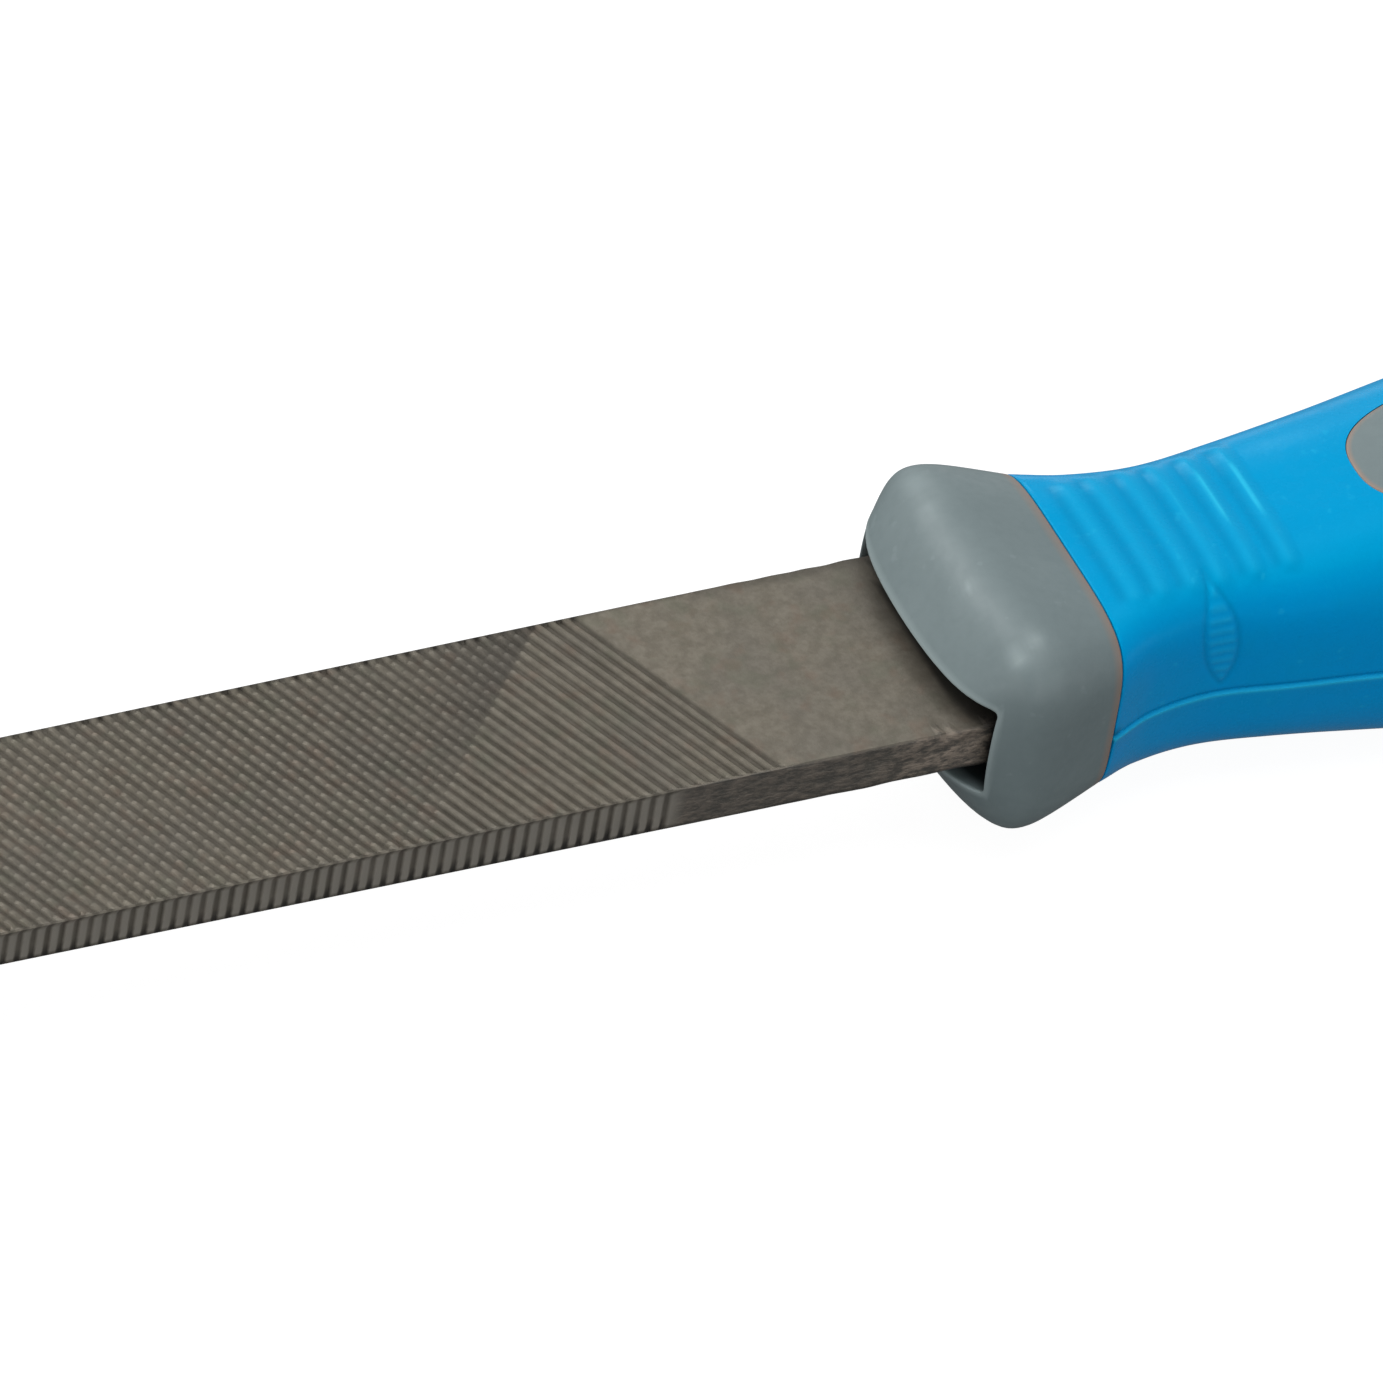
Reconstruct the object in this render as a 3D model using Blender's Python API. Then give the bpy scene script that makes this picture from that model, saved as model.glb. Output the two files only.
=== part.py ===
"""A flat hand file: a double-cut steel blade and tang in a two-colour moulded handle.

The file's axis runs along X, with the tip at -X and the handle at +X. Width is along Y and
thickness along Z. The origin is under the middle of the file, on the plane it rests on.
"""

import math

import bmesh
import bpy

MM = 0.001

# Overall layout along the file, from the slot corners in the handle's face.
TIP_TO_SLOT = 198.0 * MM
SLOT_TO_BUTT = 116.0 * MM
COLLAR_REAR = 10.3 * MM
SLEEVE_LENGTH = 89.0 * MM
CLEARANCE = 0.3 * MM

# Blade.
BLADE_WIDTH = 20.0 * MM
BLADE_THICKNESS = 4.05 * MM
TIP_WIDTH = 13.5 * MM
TIP_THICKNESS = 2.0 * MM
WIDTH_TAPER_LENGTH = 72.0 * MM
PARALLEL_HEEL = 20.0 * MM
HEEL_TO_COLLAR = 4.0 * MM
EDGE_CHAMFER = 0.25 * MM
SHOULDER_INSET = 2.0 * MM
SHOULDER_LENGTH = 5.0 * MM

# Tang, inside the handle.
TANG_ROOT_WIDTH = 10.8 * MM
TANG_ROOT_THICKNESS = 3.8 * MM
TANG_END_WIDTH = 4.4 * MM
TANG_END_THICKNESS = 2.4 * MM
TANG_END = 64.0 * MM

# Mouth of the collar.
SLOT_WIDTH = 23.0 * MM
SLOT_HEIGHT = 8.1 * MM
SLOT_DEPTH = 7.4 * MM
NOSE_SWEEP = 1.2 * MM
NOSE_CORNER_SWEEP = 1.5 * MM
GIRTH_WIDTH = 28.8 * MM
GIRTH_HEIGHT = 21.0 * MM
GIRTH_STATION = 2.6 * MM
GIRTH_SWEEP = 1.2 * MM
GIRTH_SQUARENESS = 4.1
REAR_ROUNDING = 0.45
FRONT_ROUNDING = 0.35
REAR_RECESS_DEPTH = 1.8 * MM
REAR_RECESS_WIDTH = 16.6 * MM
REAR_RECESS_HEIGHT = 11.6 * MM
TANG_SIDE_GAP = 1.0 * MM
TANG_FACE_GAP = 0.8 * MM

# Grip, behind the collar: distance from the collar, half width, half height, squareness.
GRIP_STATIONS = (
    (0.0 * MM, 11.60 * MM, 8.20 * MM, 4.6),
    (4.0 * MM, 9.85 * MM, 8.65 * MM, 4.4),
    (9.5 * MM, 9.10 * MM, 8.85 * MM, 4.2),
    (16.0 * MM, 9.90 * MM, 9.20 * MM, 3.9),
    (24.0 * MM, 10.90 * MM, 10.35 * MM, 3.5),
    (38.0 * MM, 13.40 * MM, 11.80 * MM, 3.1),
    (54.0 * MM, 14.80 * MM, 12.50 * MM, 2.8),
    (70.0 * MM, 13.90 * MM, 11.90 * MM, 2.8),
    (86.0 * MM, 12.60 * MM, 10.90 * MM, 2.9),
    (98.0 * MM, 13.40 * MM, 10.80 * MM, 3.0),
    (105.7 * MM, 13.40 * MM, 10.60 * MM, 3.0),
)
SLEEVE_WALL = 2.4 * MM
SOCKET_FLOOR = 67.0 * MM

# Oval inlays in the top and the underside of the grip.
OVAL_STATION = 41.0 * MM
OVAL_LENGTH = 34.0 * MM
OVAL_WIDTH = 14.0 * MM
OVAL_SQUARENESS = 2.6
OVAL_CUT_DEPTH = 20.0 * MM

# Butt of the handle.
CAP_EDGE_RADIUS = 5.0 * MM
CAP_RECESS_DEPTH = 3.5 * MM
CAP_RECESS_WALL = 3.6 * MM
HANG_HOLE_RADIUS = 4.0 * MM
HANG_HOLE_FROM_END = 8.5 * MM
HANG_HOLE_CUT_DEPTH = 40.0 * MM

AROUND = 28
SLOT_X = (TIP_TO_SLOT - SLOT_TO_BUTT) / 2
BELLY = max(GRIP_STATIONS, key=lambda station: station[2])
AXIS_HEIGHT = BELLY[2] * math.cos(math.pi / AROUND) ** (2 / BELLY[3])


def clear_objects():
    """Removes every object that the file opened with."""
    for item in list(bpy.data.objects):
        bpy.data.objects.remove(item, do_unlink=True)


def new_collection(name):
    collection = bpy.data.collections.new(name)
    bpy.context.scene.collection.children.link(collection)
    return collection


def new_axis(name, collection):
    """An empty on the file's axis, at the slot corners."""
    axis = bpy.data.objects.new(name, None)
    axis.empty_display_size = 0.02
    axis.location = (SLOT_X, 0, AXIS_HEIGHT)
    collection.objects.link(axis)
    return axis


def new_material(name, colour, roughness, metallic=0.0):
    material = bpy.data.materials.new(name)
    material.use_nodes = True
    shader = material.node_tree.nodes["Principled BSDF"]
    shader.inputs["Base Color"].default_value = (*colour, 1.0)
    shader.inputs["Roughness"].default_value = roughness
    shader.inputs["Metallic"].default_value = metallic
    return material


def blend(low, high, share):
    return low + (high - low) * share


def squared(cosine, squareness):
    """A cosine or sine, bent so that a circle becomes a superellipse."""
    return math.copysign(abs(cosine) ** (2 / squareness), cosine)


def squared_ring(x, half_width, half_height, squareness, sweep=0.0, corner_sweep=0.0):
    """A closed ring of points on a superellipse across X, with its sides swept forward of x."""
    ring = []
    for step in range(AROUND):
        angle = 2 * math.pi * (step + 0.5) / AROUND
        across = squared(math.cos(angle), squareness)
        up = squared(math.sin(angle), squareness)
        forward = sweep * (1 - across**2) + corner_sweep * (1 - across**6)
        ring.append((x - forward, half_width * across, half_height * up))
    return ring


def slot_ring(x, half_width, half_height, sweep=0.0, corner_sweep=0.0):
    """A closed ring of points on a rectangle across X, evenly spaced along each of its sides."""
    ring = []
    per_side = AROUND // 4
    for step in range(AROUND):
        side, place = divmod(step - per_side // 2, per_side)
        share = 1 - 2 * place / per_side
        across, up = ((share, 1), (-1, share), (-share, -1), (1, -share))[side % 4]
        forward = sweep * (1 - across**2) + corner_sweep * (1 - across**6)
        ring.append((x - forward, half_width * across, half_height * up))
    return ring


def chamfered_ring(x, width, thickness):
    """The eight corners of a flat bar's section, with its edges chamfered."""
    w, t, c = width / 2, thickness / 2, EDGE_CHAMFER
    upper = ((w, t - c), (w - c, t), (c - w, t), (-w, t - c))
    lower = ((-w, c - t), (c - w, -t), (w - c, -t), (w, c - t))
    return [(x, y, z) for y, z in upper + lower]


def loft(name, rings, parent, collection, material, ring_shaped=False, smooth_angle=35):
    """A solid through rings of matching points, in its parent's frame.

    Its ends are closed by flat faces, or joined to each other where it is ring shaped.
    """
    mesh = bpy.data.meshes.new(name)
    solid = bmesh.new()
    loops = [[solid.verts.new(point) for point in ring] for ring in rings]
    count = len(rings[0])
    pairs = list(zip(loops, loops[1:]))
    if ring_shaped:
        pairs.append((loops[-1], loops[0]))
    else:
        solid.faces.new(loops[0])
        solid.faces.new(list(reversed(loops[-1])))
    for first, second in pairs:
        for step in range(count):
            after = (step + 1) % count
            solid.faces.new((first[step], second[step], second[after], first[after]))
    bmesh.ops.recalc_face_normals(solid, faces=solid.faces)
    solid.to_mesh(mesh)
    solid.free()
    mesh.materials.append(material)
    mesh.shade_smooth()
    mesh.set_sharp_from_angle(angle=math.radians(smooth_angle))
    item = bpy.data.objects.new(name, mesh)
    item.parent = parent
    collection.objects.link(item)
    return item


def oval_cutter(name, length, width, up, parent, collection):
    """An elliptical prism above or below the axis, for an inlay or its window."""
    bpy.ops.mesh.primitive_cylinder_add(vertices=48, radius=1.0, depth=OVAL_CUT_DEPTH)
    cutter = bpy.context.object
    cutter.name = name
    for vertex in cutter.data.vertices:
        along = squared(vertex.co.x, OVAL_SQUARENESS)
        across = squared(vertex.co.y, OVAL_SQUARENESS)
        x = COLLAR_REAR + OVAL_STATION + along * length / 2
        vertex.co = (x, across * width / 2, vertex.co.z + up * OVAL_CUT_DEPTH / 2)
    return adopt_cutter(cutter, parent, collection)


def adopt_cutter(cutter, parent, collection):
    """Moves a cutter to its collection, as a wire shape that is not part of the file."""
    for owner in list(cutter.users_collection):
        owner.objects.unlink(cutter)
    collection.objects.link(cutter)
    cutter.parent = parent
    cutter.display_type = "WIRE"
    cutter.hide_render = True
    return cutter


def boolean(item, operation, cutter):
    modifier = item.modifiers.new(f"{operation.lower()}_{cutter.name}", "BOOLEAN")
    modifier.operation = operation
    modifier.solver = "EXACT"
    modifier.object = cutter


def grip_section(distance):
    """Half width, half height and squareness of the grip at a distance behind the collar."""
    stations = GRIP_STATIONS
    index = 0
    while index < len(stations) - 2 and stations[index + 1][0] < distance:
        index += 1
    before = stations[max(index - 1, 0)]
    low, high = stations[index], stations[index + 1]
    after = stations[min(index + 2, len(stations) - 1)]
    gap = high[0] - low[0]
    share = (distance - low[0]) / gap
    values = []
    for column in (1, 2, 3):
        slope_in = (high[column] - before[column]) / (high[0] - before[0]) * gap
        slope_out = (after[column] - low[column]) / (after[0] - low[0]) * gap
        values.append(hermite(low[column], slope_in, high[column], slope_out, share))
    return values


def hermite(low, slope_in, high, slope_out, share):
    square, cube = share * share, share * share * share
    return (
        (2 * cube - 3 * square + 1) * low
        + (cube - 2 * square + share) * slope_in
        + (3 * square - 2 * cube) * high
        + (cube - square) * slope_out
    )


def grip_rings(start, end, spacing, inset=0.0):
    """Rings of the grip's form between two distances behind the collar, inset from its surface."""
    count = max(2, round((end - start) / spacing) + 1)
    rings = []
    for step in range(count):
        distance = blend(start, end, step / (count - 1))
        half_width, half_height, squareness = grip_section(distance)
        ring = squared_ring(COLLAR_REAR + distance, half_width - inset, half_height - inset, squareness)
        rings.append(ring)
    return rings


def build_blade(parent, collection, material):
    """The blade tapers to its tip, and its shoulders curve in to the tang."""
    rings = []
    taper_start = WIDTH_TAPER_LENGTH - TIP_TO_SLOT
    for step in range(9):
        share = 1 - step / 8
        x = blend(taper_start, -TIP_TO_SLOT, share)
        width = BLADE_WIDTH - (BLADE_WIDTH - TIP_WIDTH) * share * share
        rings.append(chamfered_ring(x, width, blade_thickness(x)))
    for x in (-PARALLEL_HEEL, -HEEL_TO_COLLAR, SHOULDER_INSET):
        rings.append(chamfered_ring(x, BLADE_WIDTH, BLADE_THICKNESS))
    for step in range(1, 7):
        angle = math.pi / 2 * step / 6
        x = SHOULDER_INSET + SHOULDER_LENGTH * math.sin(angle)
        width = blend(TANG_ROOT_WIDTH, BLADE_WIDTH, math.cos(angle))
        rings.append(chamfered_ring(x, width, blend(TANG_ROOT_THICKNESS, BLADE_THICKNESS, math.cos(angle))))
    rings.append(chamfered_ring(TANG_END, TANG_END_WIDTH, TANG_END_THICKNESS))
    return loft("file_blade", rings, parent, collection, material, smooth_angle=20)


def blade_thickness(x):
    """The faces are parallel at the heel, then taper evenly to the tip."""
    share = max(0.0, (-PARALLEL_HEEL - x) / (TIP_TO_SLOT - PARALLEL_HEEL))
    return blend(BLADE_THICKNESS, TIP_THICKNESS, share)


def collar_rings():
    """The collar's outside, from its rear edge over the soft shoulder to the lip of the slot."""
    half_width, half_height, squareness = grip_section(0.0)
    rear = squared_ring(COLLAR_REAR, half_width, half_height, squareness)
    ridge = squared_ring(GIRTH_STATION, GIRTH_WIDTH / 2, GIRTH_HEIGHT / 2, GIRTH_SQUARENESS, GIRTH_SWEEP)
    lip = slot_ring(0.0, SLOT_WIDTH / 2, SLOT_HEIGHT / 2, NOSE_SWEEP, NOSE_CORNER_SWEEP)
    rings = [rear]
    for step in range(7):
        share = step / 6
        ring = []
        for back, corner, front in zip(rear, ridge, lip):
            start = [blend(c, b, REAR_ROUNDING) for b, c in zip(back, corner)]
            end = [blend(c, f, FRONT_ROUNDING) for f, c in zip(front, corner)]
            ring.append(curve_point(start, corner, end, share))
        rings.append(ring)
    rings.append(lip)
    return rings


def curve_point(start, corner, end, share):
    """A point on the quadratic curve that rounds a corner."""
    return tuple(
        (1 - share) ** 2 * a + 2 * share * (1 - share) * b + share * share * c
        for a, b, c in zip(start, corner, end)
    )


def build_collar(parent, collection, material):
    """A domed collar round the slot, with an opening for the tang and a recess for the core."""
    rings = collar_rings()
    web_front = SLOT_DEPTH
    web_rear = COLLAR_REAR - REAR_RECESS_DEPTH
    opening = (TANG_ROOT_WIDTH / 2 + TANG_SIDE_GAP, TANG_ROOT_THICKNESS / 2 + TANG_FACE_GAP)
    recess = (REAR_RECESS_WIDTH / 2, REAR_RECESS_HEIGHT / 2, GIRTH_SQUARENESS)
    rings.append(slot_ring(web_front, SLOT_WIDTH / 2, SLOT_HEIGHT / 2))
    rings.append(slot_ring(web_front, *opening))
    rings.append(slot_ring(web_rear, *opening))
    rings.append(squared_ring(web_rear, *recess))
    rings.append(squared_ring(COLLAR_REAR, *recess))
    return loft("front_collar", rings, parent, collection, material, ring_shaped=True)


def build_core(parent, collection, material):
    """The rigid core: a spigot into the collar, the tang's tapered socket, and a tail into the cap."""
    front = COLLAR_REAR - REAR_RECESS_DEPTH + CLEARANCE
    spigot = (REAR_RECESS_WIDTH / 2 - CLEARANCE, REAR_RECESS_HEIGHT / 2 - CLEARANCE, GIRTH_SQUARENESS)
    shoulder = COLLAR_REAR + CLEARANCE
    rear = COLLAR_REAR + SLEEVE_LENGTH
    tail_width, tail_height, tail_squareness = cap_recess(CLEARANCE)
    socket_mouth = (TANG_ROOT_WIDTH / 2 + CLEARANCE, TANG_ROOT_THICKNESS / 2 + CLEARANCE)
    socket_floor = (TANG_END_WIDTH / 2 + CLEARANCE, TANG_END_THICKNESS / 2 + CLEARANCE)
    rings = [slot_ring(SOCKET_FLOOR, *socket_floor), slot_ring(front, *socket_mouth)]
    rings.append(squared_ring(front, *spigot))
    rings.append(squared_ring(shoulder, *spigot))
    rings.extend(grip_rings(2 * CLEARANCE, SLEEVE_LENGTH, 8.0 * MM, SLEEVE_WALL))
    rings.append(squared_ring(rear, tail_width, tail_height, tail_squareness))
    rings.append(squared_ring(rear + CAP_RECESS_DEPTH, tail_width, tail_height, tail_squareness))
    return loft("handle_core", rings, parent, collection, material)


def cap_recess(inset):
    """Half width, half height and squareness of the cap's recess, less a clearance."""
    half_width, half_height, squareness = grip_section(SLEEVE_LENGTH)
    return (half_width - CAP_RECESS_WALL - inset, half_height - CAP_RECESS_WALL - inset, squareness)


def build_sleeve(parent, collection, cutters, material):
    """The soft grip: a waisted sleeve round the core, with a window for each oval inlay."""
    outside = grip_rings(CLEARANCE, SLEEVE_LENGTH, 4.0 * MM)
    inside = grip_rings(CLEARANCE, SLEEVE_LENGTH, 8.0 * MM, SLEEVE_WALL - CLEARANCE)
    rings = outside + list(reversed(inside))
    sleeve = loft("grip_sleeve", rings, parent, collection, material, ring_shaped=True)
    for side, up in (("upper", 1), ("lower", -1)):
        margin = 2 * CLEARANCE
        name = f"{side}_window"
        window = oval_cutter(name, OVAL_LENGTH + margin, OVAL_WIDTH + margin, up, parent, cutters)
        boolean(sleeve, "DIFFERENCE", window)
    return sleeve


def build_inlays(parent, collection, cutters, material):
    """Two ovals, flush with the grip, over the core."""
    reach = OVAL_LENGTH / 2 + 3 * MM
    start, end = OVAL_STATION - reach, OVAL_STATION + reach
    inside = grip_rings(start - 2 * MM, end + 2 * MM, 8.0 * MM, SLEEVE_WALL - CLEARANCE)
    core = loft("inlay_seat", inside, parent, cutters, material)
    adopt_cutter(core, parent, cutters)
    for side, up in (("upper", 1), ("lower", -1)):
        inlay = loft(f"{side}_oval_inlay", grip_rings(start, end, 4.0 * MM), parent, collection, material)
        oval = oval_cutter(f"{side}_oval", OVAL_LENGTH, OVAL_WIDTH, up, parent, cutters)
        boolean(inlay, "INTERSECT", oval)
        boolean(inlay, "DIFFERENCE", core)


def build_cap(parent, collection, cutters, material):
    """The rounded butt, recessed for the core's tail and pierced to hang the file up."""
    start = SLEEVE_LENGTH + CLEARANCE
    end = SLOT_TO_BUTT - COLLAR_REAR
    recess = cap_recess(0.0)
    floor = COLLAR_REAR + SLEEVE_LENGTH + CAP_RECESS_DEPTH + CLEARANCE
    rings = [squared_ring(floor, *recess), squared_ring(COLLAR_REAR + start, *recess)]
    rings.extend(grip_rings(start, end - CAP_EDGE_RADIUS, 3.0 * MM))
    half_width, half_height, squareness = grip_section(end - CAP_EDGE_RADIUS)
    for step in range(1, 6):
        angle = math.pi / 2 * step / 5
        inset = CAP_EDGE_RADIUS * (1 - math.cos(angle))
        x = COLLAR_REAR + end - CAP_EDGE_RADIUS * (1 - math.sin(angle))
        rings.append(squared_ring(x, half_width - inset, half_height - inset, squareness))
    cap = loft("end_cap", rings, parent, collection, material)
    bpy.ops.mesh.primitive_cylinder_add(vertices=32, radius=HANG_HOLE_RADIUS, depth=HANG_HOLE_CUT_DEPTH)
    hole = bpy.context.object
    hole.name = "hang_hole"
    hole.location = (SLOT_TO_BUTT - HANG_HOLE_FROM_END, 0, 0)
    adopt_cutter(hole, parent, cutters)
    boolean(cap, "DIFFERENCE", hole)


def build():
    clear_objects()
    parts = new_collection("flat_file")
    cutters = new_collection("cutters")
    steel = new_material("file_steel", (0.171, 0.150, 0.122), 0.42, 1.0)
    grey = new_material("grey_plastic", (0.216, 0.262, 0.296), 0.45)
    hidden_grey = new_material("core_plastic", (0.160, 0.190, 0.215), 0.50)
    blue = new_material("blue_soft_plastic", (0.004, 0.330, 0.640), 0.38)
    blade_axis = new_axis("blade_axis", parts)
    handle_axis = new_axis("handle_axis", parts)
    handle_axis.parent = blade_axis
    handle_axis.location = (0, 0, 0)
    build_blade(blade_axis, parts, steel)
    build_collar(handle_axis, parts, grey)
    build_core(handle_axis, parts, hidden_grey)
    build_sleeve(handle_axis, parts, cutters, blue)
    build_inlays(handle_axis, parts, cutters, grey)
    build_cap(handle_axis, parts, cutters, grey)


build()
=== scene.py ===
import math

import bmesh
import bpy
import numpy as np
from mathutils import Matrix, Vector, noise


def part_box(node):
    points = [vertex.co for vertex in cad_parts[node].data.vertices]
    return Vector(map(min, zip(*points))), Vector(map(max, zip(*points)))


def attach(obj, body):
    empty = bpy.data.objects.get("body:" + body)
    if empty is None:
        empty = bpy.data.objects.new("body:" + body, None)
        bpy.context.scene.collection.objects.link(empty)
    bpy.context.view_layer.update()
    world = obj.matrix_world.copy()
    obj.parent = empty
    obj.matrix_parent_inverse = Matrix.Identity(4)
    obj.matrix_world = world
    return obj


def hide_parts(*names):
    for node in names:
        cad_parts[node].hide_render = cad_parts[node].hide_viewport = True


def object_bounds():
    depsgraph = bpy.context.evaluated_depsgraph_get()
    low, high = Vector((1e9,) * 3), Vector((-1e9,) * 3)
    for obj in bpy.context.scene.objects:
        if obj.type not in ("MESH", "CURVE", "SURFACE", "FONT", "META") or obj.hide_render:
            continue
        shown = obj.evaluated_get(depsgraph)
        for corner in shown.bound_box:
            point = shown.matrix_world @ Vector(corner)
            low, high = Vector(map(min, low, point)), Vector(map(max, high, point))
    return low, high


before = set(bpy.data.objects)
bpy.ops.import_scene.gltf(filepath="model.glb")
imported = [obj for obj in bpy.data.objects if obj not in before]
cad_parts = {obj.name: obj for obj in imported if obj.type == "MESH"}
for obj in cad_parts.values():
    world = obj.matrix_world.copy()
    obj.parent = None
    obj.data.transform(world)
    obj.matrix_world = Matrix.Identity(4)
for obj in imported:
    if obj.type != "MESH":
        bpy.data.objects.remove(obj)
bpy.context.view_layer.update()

MM = 0.001

# ---- places, from the CAD frame
COLLAR_LENGTH = 10.3 * MM
REAR_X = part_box("front_collar")[1].x
SLOT_X = REAR_X - COLLAR_LENGTH
BLADE_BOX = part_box("file_blade")
TIP_X = BLADE_BOX[0].x
AXIS_Z = (BLADE_BOX[0].z + BLADE_BOX[1].z) / 2
BUTT_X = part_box("end_cap")[1].x
SLEEVE_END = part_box("grip_sleeve")[1].x - REAR_X
BLADE_WIDTH = BLADE_BOX[1].y * 2
BLADE_THICKNESS = BLADE_BOX[1].z - BLADE_BOX[0].z
ORIGIN = np.array((SLOT_X, 0.0, AXIS_Z))


# ---- camera, at the photograph's angle
def make_camera():
    azimuth, elevation, roll = math.radians(-31.63), math.radians(41.35), math.radians(10.43)
    distance = 2.5
    across_offset, up_offset = 17.805 * MM, 2.8125 * MM
    frame_width = 104.22 * MM
    level = Vector((math.cos(azimuth), math.sin(azimuth), 0.0))
    lift = Vector((-math.sin(azimuth), math.cos(azimuth), 0.0)) * math.sin(elevation)
    lift.z = math.cos(elevation)
    right = math.cos(roll) * level + math.sin(roll) * lift
    up = math.cos(roll) * lift - math.sin(roll) * level
    back = right.cross(up)
    camera = bpy.data.objects.new("camera", bpy.data.cameras.new("camera"))
    bpy.context.scene.collection.objects.link(camera)
    camera.data.sensor_width = 36.0
    camera.data.lens = 36.0 * distance / frame_width
    camera.data.clip_start, camera.data.clip_end = 0.1, 20.0
    place = Vector(ORIGIN) + distance * back - across_offset * right - up_offset * up
    camera.matrix_world = Matrix.Translation(place) @ Matrix((right, up, back)).transposed().to_4x4()
    bpy.context.scene.camera = camera


# ---- materials
class Graph:
    """Short ways to add shader nodes to one material."""

    def __init__(self, name):
        self.material = bpy.data.materials.new(name)
        self.material.use_nodes = True
        self.tree = self.material.node_tree
        self.shader = self.tree.nodes["Principled BSDF"]
        self.place = self.tree.nodes.new("ShaderNodeTexCoord").outputs["Object"]

    def link(self, value, socket):
        if isinstance(value, bpy.types.NodeSocket):
            self.tree.links.new(value, socket)
        else:
            socket.default_value = value

    def math(self, operation, first, second):
        node = self.tree.nodes.new("ShaderNodeMath")
        node.operation = operation
        self.link(first, node.inputs[0])
        self.link(second, node.inputs[1])
        return node.outputs[0]

    def add(self, kind, **values):
        """A new node, with these inputs."""
        node = self.tree.nodes.new("ShaderNode" + kind)
        for name, value in values.items():
            self.link(value, node.inputs[name.replace("_", " ")])
        return node

    def noise(self, size, detail=3.0, stretch=(1, 1, 1), roughness=0.5):
        """Noise whose blobs are about this size, in metres."""
        mapping = self.add("Mapping", Vector=self.place, Scale=[1 / (size * part) for part in stretch])
        place = mapping.outputs[0]
        node = self.add("TexNoise", Vector=place, Scale=1.0, Detail=detail, Roughness=roughness)
        return node.outputs["Fac"]

    def attribute(self, name):
        node = self.add("Attribute")
        node.attribute_name = name
        return node.outputs["Fac"]

    def span(self, value, low, high, to_low=0.0, to_high=1.0):
        """Maps low..high to to_low..to_high, held at both ends, smoothly."""
        node = self.add("MapRange", Value=value, From_Min=low, From_Max=high, To_Min=to_low, To_Max=to_high)
        node.interpolation_type = "SMOOTHSTEP"
        return node.outputs["Result"]

    def mix(self, share, first, second):
        node = self.tree.nodes.new("ShaderNodeMix")
        node.data_type = "RGBA"
        self.link(share, node.inputs[0])
        for value, socket in ((first, node.inputs[6]), (second, node.inputs[7])):
            self.link((*value, 1.0) if isinstance(value, tuple) else value, socket)
        return node.outputs[2]

    def part(self, axis):
        return self.add("SeparateXYZ", Vector=self.place).outputs[axis]

    def bump(self, height, distance, strength, base=None):
        node = self.add("Bump", Height=height, Distance=distance, Strength=strength)
        if base is not None:
            self.link(base, node.inputs["Normal"])
        return node.outputs[0]

    def finish(self, colour, roughness, **values):
        values = {"Base_Color": colour, "Roughness": roughness, **values}
        for name, value in values.items():
            self.link(value, self.shader.inputs[name.replace("_", " ")])
        return self.material


# Linear colours of the steel and of its rougher uncut sides.
STEEL_LIGHT = (0.196, 0.176, 0.138)
STEEL_DARK = (0.150, 0.133, 0.101)
STEEL_COOL = (0.118, 0.113, 0.100)
STEEL_GRAIN = (0.095, 0.085, 0.068)
STEEL_RUST = (0.170, 0.112, 0.080)
STEEL_OLIVE = (0.112, 0.122, 0.084)
STEEL_SHADE = (0.058, 0.053, 0.046)
VALLEY_SHADE = (0.040, 0.036, 0.029)
STEEL_FRESH = (0.330, 0.310, 0.270)
STEEL_BLACK = (0.010, 0.010, 0.010)
SIDE_DARK = (0.080, 0.077, 0.069)
SIDE_LIGHT = (0.380, 0.315, 0.255)


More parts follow.
